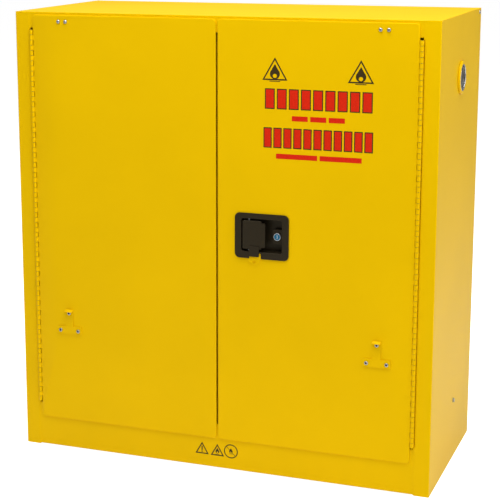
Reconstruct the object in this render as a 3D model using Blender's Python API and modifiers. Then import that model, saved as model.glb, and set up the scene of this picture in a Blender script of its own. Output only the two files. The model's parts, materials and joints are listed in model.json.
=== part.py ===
"""A two-door cabinet for flammable liquids, with double steel walls, continuous hinges and a three-point latch.

Metres, +Z up. The front faces -Y and the origin is at the middle of the base, under the bounding box's centre.
Inside this file y runs from the front face of the stiles (0) to the back (DEPTH); the root empty moves it.
"""

import math

import bmesh
import bpy
from mathutils import Matrix, Vector

# Casing
WIDTH = 1.060
HEIGHT = 1.118
DEPTH = 0.480
SHEET = 0.0012
LINER_SHEET = 0.0010
GAP = 0.0003
FOLD_RADIUS = 0.0025
WALL = 0.038
STILE = 0.038
JAMB_DEPTH = 0.024
REAR_FLANGE = 0.015
FRAME_SET_BACK = 0.0008
FRAME_RETURN = 0.045
OPENING_BOTTOM = 0.115
OPENING_TOP = 1.079
SILL_LIFT = 0.002
SUMP_DEPTH = 0.050
SHELF_HEIGHT = 0.586
SHELF_LIP = 0.022

# Doors
DOOR_PROUD = 0.0027
DOOR_EDGE = 0.482
DOOR_BOTTOM = 0.0785
DOOR_TOP = 1.1112
CENTRE_GAP = 0.0046
SKIN_DEPTH = 0.0032
SKIN_CORNER = 0.009
PAN_BACK = 0.040
PAN_CLEARANCE = 0.004
PAN_EDGE = 0.006

# Continuous hinges
HINGE_X = 0.487
HINGE_Y = -0.002
HINGE_BOTTOM = 0.119
HINGE_TOP = 1.0745
KNUCKLE_RADIUS = 0.0045
KNUCKLES = 18
LEAF_SHEET = 0.0011
LEAF_DEPTH = 0.024
PIN_RADIUS = 0.0021
CURL_STEPS = 10
CURL_ANGLE = math.radians(300)

# Hooks low on the doors, each bent from one plate
HOOK_X = 0.3985
HOOK_BOTTOM = 0.3065
HOOK_BASE = (0.0675, 0.0200)
HOOK_STEM = 0.0200
HOOK_TOP = 0.3750
HOOK_SHEET = 0.002
HOOK_REACH = 0.0095
HOOK_RIVETS = ((-0.0244, 0.3158), (0.0244, 0.3158), (0.0, 0.3612))
DOOR_BOLTS = (0.3925, 0.4115)
DOOR_BOLT_Z = 1.0953

# Handle
PLATE = ((0.0467, 0.5445), (0.1813, 0.6545))
POCKET = ((0.0630, 0.5610), (0.1645, 0.6415))
POCKET_DEPTH = 0.020
PLATE_FRONT = -0.0055
CUP_WALL = 0.0015
BOSS_FRONT = 0.0085
BOSS_SPREAD = (0.0115, 0.0175)
PADDLE = ((0.0667, 0.5675), (0.1230, 0.6365))
LUG = ((0.0833, 0.5495), (0.1081, 0.5755))
BARREL_RADIUS = 0.0045
PADDLE_PIN_RADIUS = 0.0019
PADDLE_BORE_RADIUS = 0.0023
PIVOT_X = 0.0805
PIVOT_Y = 0.0023
LOCK_X = 0.1492
LOCK_Z = 0.5990
LOCK_BORE_RADIUS = 0.0084
LOCK_FACE_RADIUS = 0.0092
LOCK_BODY_RADIUS = 0.0080
KEYWAY = (0.0018, 0.0084)
TAB_X = 0.0956
TAB_Z = 0.5460
TAB_RADIUS = 0.0165
TAB_TOP = 0.5578
TAB_SHEET = 0.002
PADLOCK_HOLE = (0.5362, 0.0038)
NOTCH_TOP = 0.5583

# Latch, between the handle's cup and the door's inner pan
CAM_X = 0.100
CAM_Z = 0.5995
CAM_RADIUS = 0.023
CAM_BORE_RADIUS = 0.0034
STUD_RADIUS = 0.003
PEG_RADIUS = 0.0025
PEG_THROW = 0.018
PEG_PLAY = 0.0006
ROD_OFFSET = 0.016
ROD_WIDTH = 0.012
CAM_FRONT = 0.0265
CAM_BACK = 0.0290
ROD_LAYER = (0.0297, 0.0325)
BOLT_LAYER = (0.0222, 0.0250)
TIP_SHORT = 0.0012

# Vents and small fixings on the sides
VENT_Y = 0.237
VENT_RIGHT_Z = 0.968
VENT_LEFT_Z = 0.190
VENT_RADIUS = 0.040
VENT_BORE = 0.0315
VENT_PROUD = 0.006
GROUND_SCREW = (0.264, 0.156)
REAR_SCREW = (0.4560, 1.1085)

FRONT_REACH = DOOR_PROUD + GAP + HOOK_SHEET + HOOK_REACH
ROOT_Y = (FRONT_REACH - DEPTH) / 2
OPENING_X = WIDTH / 2 - STILE

YELLOW = ((0.76, 0.49, 0.006), 0.42, 0.0)
ZINC = ((0.62, 0.63, 0.64), 0.38, 0.9)
STEEL = ((0.70, 0.70, 0.71), 0.25, 1.0)
BLACK = ((0.022, 0.019, 0.014), 0.45, 0.0)

for leftover in list(bpy.data.objects):
    bpy.data.objects.remove(leftover, do_unlink=True)

CABINET = bpy.data.collections.new("safety_cabinet")
CUTTERS = bpy.data.collections.new("cutters")
CUTTERS.hide_render = True
bpy.context.scene.collection.children.link(CABINET)
bpy.context.scene.collection.children.link(CUTTERS)
PLACES = {}


def pivot(name, at, parent=None):
    """An empty at a joint's axis, or at the root."""
    empty = bpy.data.objects.new(name, None)
    CABINET.objects.link(empty)
    put(empty, at, parent)
    return empty


def put(obj, at, parent):
    PLACES[obj.name] = Vector(at)
    obj.parent = parent
    obj.location = Vector(at) - (PLACES[parent.name] if parent else Vector((0, 0, 0)))


def finish_material(name, finish):
    colour, roughness, metallic = finish
    made = bpy.data.materials.new(name + "_finish")
    made.use_nodes = True
    made.diffuse_color = (*colour, 1.0)
    shader = made.node_tree.nodes["Principled BSDF"]
    shader.inputs["Base Color"].default_value = (*colour, 1.0)
    shader.inputs["Roughness"].default_value = roughness
    shader.inputs["Metallic"].default_value = metallic
    return made


def solid(name, bm, parent, finish, at=None):
    """Turns a bmesh drawn in cabinet coordinates into a named part with its origin at the given point."""
    lows = [min(v.co[i] for v in bm.verts) for i in range(3)]
    highs = [max(v.co[i] for v in bm.verts) for i in range(3)]
    centre = Vector(at) if at else (Vector(lows) + Vector(highs)) / 2
    bmesh.ops.translate(bm, verts=bm.verts, vec=-centre)
    mesh = bpy.data.meshes.new(name)
    bm.to_mesh(mesh)
    bm.free()
    mesh.materials.append(finish_material(name, finish))
    obj = bpy.data.objects.new(name, mesh)
    CABINET.objects.link(obj)
    put(obj, centre, parent)
    return obj


def cutter(name, bm):
    mesh = bpy.data.meshes.new(name)
    bm.to_mesh(mesh)
    bm.free()
    obj = bpy.data.objects.new(name, mesh)
    CUTTERS.objects.link(obj)
    obj.display_type = "WIRE"
    obj.location = (0, ROOT_Y, 0)
    return obj


def combine(obj, bm, operation="DIFFERENCE"):
    """Cuts a shape out of a part, or joins it on."""
    step = obj.modifiers.new(operation.lower(), "BOOLEAN")
    step.operation = operation
    step.solver = "EXACT"
    step.object = cutter(f"{obj.name}_tool_{len(obj.modifiers)}", bm)


def box(low, high, corner=0.0, axis=1, steps=3):
    """A block. Its four edges along the axis can be rounded."""
    bm = bmesh.new()
    bmesh.ops.create_cube(bm, size=1.0)
    size = Vector(high) - Vector(low)
    bmesh.ops.scale(bm, verts=bm.verts, vec=size)
    bmesh.ops.translate(bm, verts=bm.verts, vec=(Vector(low) + Vector(high)) / 2)
    if corner:
        along = [e for e in bm.edges if runs_along(e, axis)]
        bmesh.ops.bevel(bm, geom=along, offset=corner, segments=steps, affect="EDGES", profile=0.5)
    return bm


def runs_along(edge, axis):
    step = edge.verts[1].co - edge.verts[0].co
    return abs(step[axis]) > 0.99 * step.length


def cylinder(centre, radius, low, high, axis, sides=16):
    """A round bar along an axis, from low to high on that axis."""
    bm = bmesh.new()
    bmesh.ops.create_cone(bm, cap_ends=True, segments=sides, radius1=radius, radius2=radius, depth=high - low)
    turn = (Matrix.Rotation(math.pi / 2, 4, "Y"), Matrix.Rotation(math.pi / 2, 4, "X"), Matrix())[axis]
    bmesh.ops.transform(bm, matrix=turn, verts=bm.verts)
    place = Vector(centre)
    place[axis] = (low + high) / 2
    bmesh.ops.translate(bm, verts=bm.verts, vec=place)
    return bm


def strip(rows, faces):
    """An open sheet from rows of points."""
    bm = bmesh.new()
    grid = [[bm.verts.new(p) for p in row] for row in rows]
    for i, j in faces:
        bm.faces.new((grid[i][j], grid[i][j + 1], grid[i + 1][j + 1], grid[i + 1][j]))
    for v in [v for v in bm.verts if not v.link_faces]:
        bm.verts.remove(v)
    return bm


def thicken(obj, sheet, offset):
    step = obj.modifiers.new("thickness", "SOLIDIFY")
    step.thickness = sheet
    step.offset = offset
    step.use_even_offset = True
    step.use_quality_normals = True


def fold(obj, radius, segments=3):
    step = obj.modifiers.new("folds", "BEVEL")
    step.width = radius
    step.segments = segments
    step.limit_method = "ANGLE"
    step.angle_limit = math.radians(30)


def folded(name, outline, axis, start, end, parent, finish, sheet=SHEET, offset=-1, radius=FOLD_RADIUS):
    """A sheet bent to an outline, drawn out along an axis. The outline is its outer face."""
    others = [i for i in range(3) if i != axis]
    rows = []
    for along in (start, end):
        row = []
        for point in outline:
            place = Vector((0, 0, 0))
            place[others[0]], place[others[1]] = point
            place[axis] = along
            row.append(place)
        rows.append(row)
    faces = [(0, j) for j in range(len(outline) - 1)]
    obj = solid(name, strip(rows, faces), parent, finish)
    if len(outline) > 2:
        fold(obj, radius)
    thicken(obj, sheet, offset)
    return obj


def tray(name, low, high, open_axis, open_high, parent, finish, sheet, corner, edge, at=None):
    """A pan pressed from one sheet, open on one side, with rounded corners."""
    bm = box(low, high)
    level = high[open_axis] if open_high else low[open_axis]
    lid = [f for f in bm.faces if all(abs(v.co[open_axis] - level) < 1e-6 for v in f.verts)]
    bmesh.ops.delete(bm, geom=lid, context="FACES_ONLY")
    upright = [e for e in bm.edges if runs_along(e, open_axis)]
    bmesh.ops.bevel(bm, geom=upright, offset=corner, segments=3, affect="EDGES", profile=0.5)
    floor = low[open_axis] if open_high else high[open_axis]
    rim = [e for e in bm.edges if all(abs(v.co[open_axis] - floor) < 1e-6 for v in e.verts)]
    bmesh.ops.bevel(bm, geom=rim, offset=edge, segments=2, affect="EDGES", profile=0.5)
    obj = solid(name, bm, parent, finish, at)
    thicken(obj, sheet, -1)
    return obj


def turned(name, profile, centre, axis, outward, parent, finish, steps, closed=False):
    """A round part from a profile of (radius, distance along the axis) points, listed from its inner end outwards."""
    bm = bmesh.new()
    points = [bm.verts.new((r, 0, h)) for r, h in reversed(profile)]
    ends = points[1:] + points[:1] if closed else points[1:]
    for first, second in zip(points, ends):
        bm.edges.new((first, second))
    mesh = bpy.data.meshes.new(name)
    bm.to_mesh(mesh)
    bm.free()
    mesh.materials.append(finish_material(name, finish))
    obj = bpy.data.objects.new(name, mesh)
    CABINET.objects.link(obj)
    put(obj, centre, parent)
    spin = obj.modifiers.new("turned", "SCREW")
    spin.steps = steps
    spin.render_steps = steps
    spin.use_merge_vertices = True
    spin.merge_threshold = 0.00005
    obj.rotation_euler = {
        (0, 1): (0, math.pi / 2, 0),
        (0, -1): (0, -math.pi / 2, 0),
        (1, -1): (math.pi / 2, 0, 0),
    }[(axis, outward)]
    return obj


def casing(root):
    half = WIDTH / 2
    for side, word in ((-1, "left"), (1, "right")):
        outline = [
            (side * OPENING_X, JAMB_DEPTH),
            (side * OPENING_X, 0),
            (side * half, 0),
            (side * half, DEPTH),
            (side * (half - REAR_FLANGE), DEPTH),
        ]
        panel = folded(f"side_{word}", outline, 2, 0, HEIGHT, root, YELLOW, offset=-side)
        bore = VENT_RIGHT_Z if side > 0 else VENT_LEFT_Z
        through = sorted((side * (half - 0.01), side * (half + 0.01)))
        combine(panel, cylinder((0, VENT_Y, bore), VENT_BORE + 0.0025, *through, 0, 24))
        notch = sorted((side * (OPENING_X - 0.001), side * (OPENING_X + 0.004)))
        combine(panel, box((notch[0], 0.0020, HEIGHT - 0.0018), (notch[1], 0.03, HEIGHT + 0.01)))
        if side > 0:
            for y, z in (GROUND_SCREW, REAR_SCREW):
                combine(panel, cylinder((0, y, z), 0.0028, *through, 0, 8))
    inner = half - SHEET - GAP
    drop = 0.018
    top = folded(
        "top_panel",
        [(-inner, HEIGHT - drop), (-inner, HEIGHT), (inner, HEIGHT), (inner, HEIGHT - drop)],
        1,
        FRAME_SET_BACK,
        DEPTH - FOLD_RADIUS - 0.0006,
        root,
        YELLOW,
    )
    combine(top, cylinder((0, REAR_SCREW[0], REAR_SCREW[1]), 0.0028, half - 0.01, half + 0.01, 0, 8))
    for side in (-1, 1):
        ends = sorted((side * (OPENING_X - 0.0005), side * (half + 0.01)))
        combine(top, box((ends[0], -0.01, HEIGHT - 0.03), (ends[1], FOLD_RADIUS, HEIGHT + 0.01)))
    under_top = HEIGHT - SHEET - GAP
    back_face = DEPTH - SHEET - GAP
    end = half - FOLD_RADIUS - 0.0005
    folded("back_panel", [(-end, back_face), (end, back_face)], 2, 0, under_top, root, YELLOW, offset=1)
    front = JAMB_DEPTH + 0.0015
    base = [(front, 0.020), (front, 0), (back_face - SHEET - GAP, 0), (back_face - SHEET - GAP, 0.020)]
    folded("base_panel", base, 0, -inner, inner, root, YELLOW)


def frame_members(root):
    end = OPENING_X - GAP
    under_top = HEIGHT - SHEET - GAP
    lip = FRAME_SET_BACK + 0.020
    header = folded(
        "header",
        [
            (lip, under_top),
            (FRAME_SET_BACK, under_top),
            (FRAME_SET_BACK, OPENING_TOP),
            (FRAME_RETURN, OPENING_TOP),
        ],
        0,
        -end,
        end,
        root,
        YELLOW,
        radius=0.0018,
    )
    sill = folded(
        "sill",
        [
            (FRAME_RETURN, OPENING_BOTTOM),
            (FRAME_SET_BACK, OPENING_BOTTOM),
            (FRAME_SET_BACK, SILL_LIFT),
            (JAMB_DEPTH, SILL_LIFT),
        ],
        0,
        -end,
        end,
        root,
        YELLOW,
        radius=0.0018,
    )
    for member, x, z in ((header, CAM_X + ROD_OFFSET, OPENING_TOP), (sill, CAM_X - ROD_OFFSET, OPENING_BOTTOM)):
        combine(member, rod_slot(x, z))


def rod_slot(x, z):
    """Room for a rod's tip, cut through a sheet that lies level at z."""
    side = ROD_WIDTH / 2 + 0.0012
    return box((x - side, ROD_LAYER[0] - 0.0012, z - 0.003), (x + side, ROD_LAYER[1] + 0.0012, z + 0.003))


def lining(root):
    end = OPENING_X - GAP
    low = OPENING_BOTTOM - 0.0010
    high = OPENING_TOP
    front = JAMB_DEPTH + 0.0015
    back = DEPTH - WALL - LINER_SHEET
    for side, word in ((-1, "left"), (1, "right")):
        plane = [(side * OPENING_X, front), (side * OPENING_X, back)]
        wall = folded(f"liner_{word}", plane, 2, low, high, root, ZINC, sheet=LINER_SHEET, offset=side)
        bore = VENT_RIGHT_Z if side > 0 else VENT_LEFT_Z
        through = sorted((side * (OPENING_X - 0.01), side * (OPENING_X + 0.01)))
        combine(wall, cylinder((0, VENT_Y, bore), VENT_BORE, *through, 0, 24))
    folded("liner_back", [(-end, back), (end, back)], 2, low, high, root, ZINC, sheet=LINER_SHEET, offset=-1)
    cover = [(FRAME_RETURN + 0.0015, high + GAP), (back - 0.0015, high + GAP)]
    folded("liner_top", cover, 0, -end, end, root, ZINC, sheet=LINER_SHEET)
    bottom = OPENING_BOTTOM - 0.0015 - SUMP_DEPTH
    tray(
        "sump",
        (-end, FRAME_RETURN + 0.0015, bottom),
        (end, back + LINER_SHEET, low - 0.0005),
        2,
        True,
        root,
        ZINC,
        0.0015,
        0.004,
        0.003,
    )


def shelving(root):
    ledge = SHELF_HEIGHT - SHEET - GAP
    for side, word in ((-1, "left"), (1, "right")):
        wall = side * (OPENING_X - 0.0005)
        rail = [(wall, ledge - 0.025), (wall, ledge), (side * (OPENING_X - 0.024), ledge)]
        folded(f"shelf_rail_{word}", rail, 1, 0.070, 0.410, root, ZINC, offset=side, radius=0.002)
    end = OPENING_X - 0.0035
    front, back = 0.048, 0.434
    outline = [
        (front, SHELF_HEIGHT - SHELF_LIP),
        (front, SHELF_HEIGHT),
        (back, SHELF_HEIGHT),
        (back, SHELF_HEIGHT - SHELF_LIP),
    ]
    folded("shelf", outline, 0, -end, end, root, ZINC, offset=1)


def vents(root):
    face = WIDTH / 2 + GAP
    sleeve = face - (OPENING_X + LINER_SHEET + GAP)
    tube = VENT_BORE + 0.0018
    ring = [
        (VENT_BORE, -sleeve),
        (tube, -sleeve),
        (tube, 0),
        (VENT_RADIUS, 0),
        (VENT_RADIUS - 0.0008, VENT_PROUD * 0.5),
        (VENT_RADIUS - 0.0030, VENT_PROUD - GAP),
        (VENT_BORE + 0.0012, VENT_PROUD - GAP),
        (VENT_BORE, VENT_PROUD - 0.0015),
    ]
    for side, word, z in ((-1, "left", VENT_LEFT_Z), (1, "right", VENT_RIGHT_Z)):
        turned(f"vent_{word}", ring, (side * face, VENT_Y, z), 0, side, root, YELLOW, 24, closed=True)
        near = sorted((side * (face - 0.0020), side * (face + 0.0005)))
        disc = cylinder((0, VENT_Y, z), VENT_BORE - 0.0007, *near, 0, 24)
        screen = solid(f"vent_screen_{word}", disc, root, STEEL)
        through = sorted((side * (face - 0.01), side * (face + 0.01)))
        for k in range(6):
            y = VENT_Y + 0.019 * math.cos(k * math.pi / 3)
            height = z + 0.019 * math.sin(k * math.pi / 3)
            combine(screen, cylinder((0, y, height), 0.0065, *through, 0, 8))
        combine(screen, cylinder((0, VENT_Y, z), 0.0065, *through, 0, 8))


def domed(name, centre, axis, outward, radius, rise, shank, length, parent, hollow=0.0, steps=10):
    """A domed head on a shank. A blind rivet's head is hollow in the middle."""
    base = GAP
    inner = [(hollow, base + rise * 0.35), (0, base + rise * 0.35)] if hollow else [(0, base + rise)]
    profile = [
        (0, -length),
        (shank, -length),
        (shank, base),
        (radius, base),
        (radius * 0.92, base + rise * 0.55),
        (radius * 0.55, base + rise),
        *inner,
    ]
    return turned(name, profile, centre, axis, outward, parent, STEEL, steps)


def side_screws(root):
    face = WIDTH / 2
    domed("ground_screw", (face, *GROUND_SCREW), 0, 1, 0.0062, 0.0038, 0.0022, 0.009, root)
    domed("rear_screw", (face, *REAR_SCREW), 0, 1, 0.0048, 0.0026, 0.0022, 0.007, root)


def hinge_leaf(name, side, turn, parent, at):
    """A leaf on one side of the axis, rolled round the pin at every second place."""
    across = side * KNUCKLE_RADIUS
    rim = [(across, LEAF_DEPTH), (across, KNUCKLE_RADIUS + 0.0006), (across, 0)]
    for k in range(1, CURL_STEPS + 1):
        angle = CURL_ANGLE * k / CURL_STEPS
        rim.append((across * math.cos(angle), -KNUCKLE_RADIUS * math.sin(angle)))
    pitch = (HINGE_TOP - HINGE_BOTTOM) / KNUCKLES
    rolled = []
    for k in range(turn, KNUCKLES, 2):
        rolled.append(HINGE_BOTTOM + k * pitch + GAP)
        rolled.append(HINGE_BOTTOM + (k + 1) * pitch - GAP)
    levels = sorted({HINGE_BOTTOM, HINGE_TOP, *rolled})
    rows = [[(at[0] + x, at[1] + y, z) for x, y in rim] for z in levels]
    faces = []
    for i, level in enumerate(levels[:-1]):
        faces.append((i, 0))
        if level in rolled[::2]:
            faces.extend((i, j) for j in range(1, len(rim) - 1))
    leaf = solid(name, strip(rows, faces), parent, YELLOW, (at[0], at[1], HINGE_BOTTOM))
    thicken(leaf, LEAF_SHEET, side)
    return leaf


def hinges(root, doors):
    for side, word in ((-1, "left"), (1, "right")):
        axis = (side * HINGE_X, HINGE_Y)
        hinge_leaf(f"hinge_{word}_frame_leaf", side, 0, root, axis)
        hinge_leaf(f"hinge_{word}_door_leaf", -side, 1, doors[word], axis)
        pin = cylinder((*axis, 0), PIN_RADIUS, HINGE_BOTTOM, HINGE_TOP, 2, 10)
        solid(f"hinge_pin_{word}", pin, root, STEEL)


def door(word, side, parent):
    near = CENTRE_GAP / 2
    lows = (min(side * near, side * DOOR_EDGE), -DOOR_PROUD, DOOR_BOTTOM)
    highs = (max(side * near, side * DOOR_EDGE), SKIN_DEPTH - DOOR_PROUD, DOOR_TOP)
    skin = tray(f"door_{word}_skin", lows, highs, 1, True, parent, YELLOW, SHEET, SKIN_CORNER, 0.0014)
    pan_outer = HINGE_X - KNUCKLE_RADIUS - 0.0005
    ends = sorted((side * PAN_EDGE, side * pan_outer))
    low = (ends[0], FRAME_SET_BACK, OPENING_BOTTOM + PAN_CLEARANCE)
    high = (ends[1], PAN_BACK, OPENING_TOP - PAN_CLEARANCE)
    pan = tray(f"door_{word}_pan", low, high, 1, False, parent, YELLOW, SHEET, 0.003, 0.002)
    slot = ((side * PAN_EDGE - 0.006, BOLT_LAYER[0] - 0.0012, CAM_Z + ROD_OFFSET - 0.0062),
            (side * PAN_EDGE + 0.006, BOLT_LAYER[1] + 0.0012, CAM_Z + ROD_OFFSET + 0.0062))
    combine(pan, box(*slot))
    for k, x in enumerate(DOOR_BOLTS):
        place = (side * x, -DOOR_PROUD, DOOR_BOLT_Z)
        combine(skin, cylinder(place, 0.0030, -0.01, 0.01, 1, 8))
        domed(f"door_bolt_{word}_{k + 1}", place, 1, -1, 0.0046, 0.0032, 0.0026, 0.0026, parent)
    hook(word, side, parent, skin)
    return skin, pan


def hook(word, side, parent, skin):
    """A plate on the door with a narrow stem whose top end is bent out."""
    centre = side * HOOK_X
    back = -DOOR_PROUD - GAP
    front = back - HOOK_SHEET
    half = HOOK_BASE[0] / 2
    stem = HOOK_STEM / 2
    low = (centre - half, front, HOOK_BOTTOM)
    high = (centre + half, back, HOOK_BOTTOM + HOOK_BASE[1])
    plate = solid(f"hook_{word}", box(low, high, 0.003, 1, 2), parent, YELLOW)
    low = (centre - stem, front, HOOK_BOTTOM + HOOK_BASE[1] - 0.006)
    combine(plate, box(low, (centre + stem, back, HOOK_TOP)), "UNION")
    low = (centre - stem, front - HOOK_REACH, HOOK_TOP - HOOK_SHEET)
    combine(plate, box(low, (centre + stem, back - 0.0005, HOOK_TOP), 0.002, 2, 2), "UNION")
    for k, (x, z) in enumerate(HOOK_RIVETS):
        place = (centre + x, front, z)
        combine(plate, cylinder(place, 0.0027, -0.02, 0.01, 1, 8))
        combine(skin, cylinder(place, 0.0027, -0.02, 0.01, 1, 8))
        domed(f"hook_rivet_{word}_{k + 1}", place, 1, -1, 0.0048, 0.0022, 0.0023, 0.009, parent, 0.0018)


def handle(parent, skin):
    (left, low), (right, high) = POCKET
    cup_back = POCKET_DEPTH + CUP_WALL
    grow = CUP_WALL + 0.001
    combine(skin, box((left - grow, -0.02, low - grow), (right + grow, 0.02, high + grow), 0.006, 1))
    plate = box((PLATE[0][0], PLATE_FRONT, PLATE[0][1]), (PLATE[1][0], -DOOR_PROUD - GAP, PLATE[1][1]), 0.012, 1, 4)
    housing = solid("handle_housing", plate, parent, BLACK)
    bevel = housing.modifiers.new("soft_edge", "BEVEL")
    bevel.width = 0.0008
    bevel.segments = 1
    bevel.limit_method = "ANGLE"
    bevel.angle_limit = math.radians(60)
    low_cup = (left - CUP_WALL, PLATE_FRONT + 0.0010, low - CUP_WALL)
    high_cup = (right + CUP_WALL, cup_back, high + CUP_WALL)
    combine(housing, box(low_cup, high_cup, 0.006, 1), "UNION")
    combine(housing, box((left, -0.02, low), (right, POCKET_DEPTH, high), 0.0055, 1))
    aside, upright = BOSS_SPREAD
    low_boss = (LOCK_X - aside, BOSS_FRONT, LOCK_Z - upright)
    boss = box(low_boss, (right + 0.0008, POCKET_DEPTH + 0.0005, LOCK_Z + upright))
    combine(housing, boss, "UNION")
    stud = cylinder((CAM_X, 0, CAM_Z), STUD_RADIUS, POCKET_DEPTH + 0.0005, ROD_LAYER[1] + 0.0015, 1, 12)
    combine(housing, stud, "UNION")
    combine(housing, cylinder((LOCK_X, 0, LOCK_Z), LOCK_BORE_RADIUS, -0.01, 0.04, 1, 16))
    slot = ((PIVOT_X - 0.0125, POCKET_DEPTH - 0.005, CAM_Z - 0.009), (PIVOT_X + 0.0095, 0.0228, CAM_Z + 0.009))
    combine(housing, box(*slot))
    bore = cylinder((PIVOT_X, PIVOT_Y, 0), PADDLE_BORE_RADIUS, low - 0.01, high + 0.01, 2, 10)
    combine(housing, bore)
    reach = TAB_RADIUS + 0.0006
    notch = box((TAB_X - reach, -0.02, PLATE[0][1] - 0.02), (TAB_X + reach, 0.0, NOTCH_TOP), 0.004, 1)
    combine(housing, notch)
    pin = cylinder((PIVOT_X, PIVOT_Y, 0), PADDLE_PIN_RADIUS, low - 0.0020, high + 0.0020, 2, 10)
    solid("paddle_pin", pin, parent, STEEL)
    face = -DOOR_PROUD - GAP
    tab = cylinder((TAB_X, 0, TAB_Z), TAB_RADIUS, face - TAB_SHEET, face, 1, 24)
    tab_part = solid("padlock_tab", tab, parent, YELLOW)
    combine(tab_part, box((TAB_X - 0.03, -0.02, TAB_TOP), (TAB_X + 0.03, 0.02, CAM_Z)))
    level, radius = PADLOCK_HOLE
    combine(tab_part, cylinder((TAB_X, 0, level), radius, -0.02, 0.02, 1, 12))


def paddle(at):
    """The flush lever: a plate on a barrel, a tongue that works the cam, and a lug over the padlock tab."""
    (left, low), (right, high) = PADDLE
    grip = right - 0.0095
    front, back = PLATE_FRONT - 0.0008, PLATE_FRONT + 0.0022
    place = (PIVOT_X, PIVOT_Y, CAM_Z)
    obj = solid("paddle", box((left, front, low), (grip, back, high), 0.003, 1, 2), at, BLACK, place)
    combine(obj, box((grip - 0.004, front, low + 0.005), (right, back, high - 0.005), 0.003, 1, 2), "UNION")
    for z in (low + 0.0002, high - 0.0027):
        combine(obj, box((left + 0.003, back - 0.0004, z), (grip - 0.003, back + 0.004, z + 0.0025)), "UNION")
    combine(obj, cylinder(place, BARREL_RADIUS, low + 0.004, high - 0.004, 2, 12), "UNION")
    combine(obj, box((PIVOT_X - 0.003, back - 0.0006, low + 0.004), (PIVOT_X + 0.003, PIVOT_Y, high - 0.004)), "UNION")
    tongue = box((PIVOT_X - 0.0105, back - 0.0006, CAM_Z - 0.0065), (PIVOT_X - 0.0060, 0.0225, CAM_Z + 0.0065))
    combine(obj, tongue, "UNION")
    brace = box((PIVOT_X - 0.0080, back - 0.0006, CAM_Z - 0.0060), (PIVOT_X - 0.002, PIVOT_Y, CAM_Z + 0.0060))
    combine(obj, brace, "UNION")
    (lug_left, lug_low), (lug_right, lug_high) = LUG
    reach = (PLATE_FRONT - 0.0028, PLATE_FRONT - 0.0004)
    lug = box((lug_left, reach[0], lug_low), (lug_right, reach[1], lug_high), 0.002, 1, 2)
    combine(obj, lug, "UNION")
    combine(obj, cylinder(place, PADDLE_BORE_RADIUS, low - 0.01, high + 0.01, 2, 10))
    return obj


def lock(at):
    """The key cylinder, with its face just below the plate and its tail behind the cup."""
    place = (LOCK_X, 0.0, LOCK_Z)
    obj = solid("lock_cylinder", cylinder(place, LOCK_FACE_RADIUS, 0.0050, 0.0080, 1, 20), at, STEEL, place)
    combine(obj, cylinder(place, LOCK_BODY_RADIUS, 0.0075, 0.0300, 1, 16), "UNION")
    wide, tall = KEYWAY
    low, high = (LOCK_X - wide / 2, 0.0, LOCK_Z - tall / 2), (LOCK_X + wide / 2, 0.016, LOCK_Z + tall / 2)
    combine(obj, box(low, high))
    return obj


def cam(at):
    place = (CAM_X, CAM_FRONT, CAM_Z)
    obj = solid("latch_cam", cylinder(place, CAM_RADIUS, CAM_FRONT, CAM_BACK, 1, 24), at, ZINC, place)
    for side in (-1, 1):
        peg = cylinder((CAM_X + side * PEG_THROW, 0, CAM_Z), PEG_RADIUS, CAM_BACK - 0.001, ROD_LAYER[1] + 0.0006, 1, 10)
        combine(obj, peg, "UNION")
    peg = cylinder((CAM_X, 0, CAM_Z + PEG_THROW), PEG_RADIUS, BOLT_LAYER[0] - 0.0004, CAM_FRONT + 0.001, 1, 10)
    combine(obj, peg, "UNION")
    combine(obj, cylinder(place, CAM_BORE_RADIUS, CAM_FRONT - 0.01, CAM_BACK + 0.01, 1, 12))
    return obj


def eye_span():
    """Where a peg travels across its slot, from the cam's axis: near and far ends of the slot."""
    near = PEG_THROW * math.cos(math.radians(45)) - PEG_RADIUS - PEG_PLAY
    far = PEG_THROW + PEG_RADIUS + PEG_PLAY
    return near, far


def rods(tops, bottoms):
    near, far = eye_span()
    tall = PEG_RADIUS + PEG_PLAY
    front, back = ROD_LAYER
    half = ROD_WIDTH / 2
    for word, side, tip, parent in (
        ("top", 1, OPENING_TOP - TIP_SHORT, tops),
        ("bottom", -1, OPENING_BOTTOM + TIP_SHORT, bottoms),
    ):
        axis = CAM_X + side * ROD_OFFSET
        ends = sorted((CAM_Z + side * 0.004, tip))
        place = (axis, (front + back) / 2, CAM_Z)
        bar = box((axis - half, front, ends[0]), (axis + half, back, ends[1]))
        obj = solid(f"rod_{word}", bar, parent, ZINC, place)
        sides = sorted((CAM_X + side * (near - 0.0024), CAM_X + side * (far + 0.0024)))
        eye = box((sides[0], front, CAM_Z - 0.0058), (sides[1], back, CAM_Z + 0.0058))
        combine(obj, eye, "UNION")
        sides = sorted((CAM_X + side * near, CAM_X + side * far))
        combine(obj, box((sides[0], front - 0.01, CAM_Z - tall), (sides[1], back + 0.01, CAM_Z + tall)))


def centre_bolt(at):
    near, far = eye_span()
    wide = PEG_RADIUS + PEG_PLAY
    front, back = BOLT_LAYER
    level = CAM_Z + ROD_OFFSET
    place = (CAM_X, (front + back) / 2, level)
    bar = box((-0.0035, front, level - 0.005), (CAM_X - 0.004, back, level + 0.005))
    obj = solid("centre_bolt", bar, at, ZINC, place)
    low, high = CAM_Z + near - 0.0024, CAM_Z + far + 0.0024
    combine(obj, box((CAM_X - 0.0058, front, low), (CAM_X + 0.0058, back, high)), "UNION")
    combine(obj, box((CAM_X - wide, front - 0.01, CAM_Z + near), (CAM_X + wide, back + 0.01, CAM_Z + far)))


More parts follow.
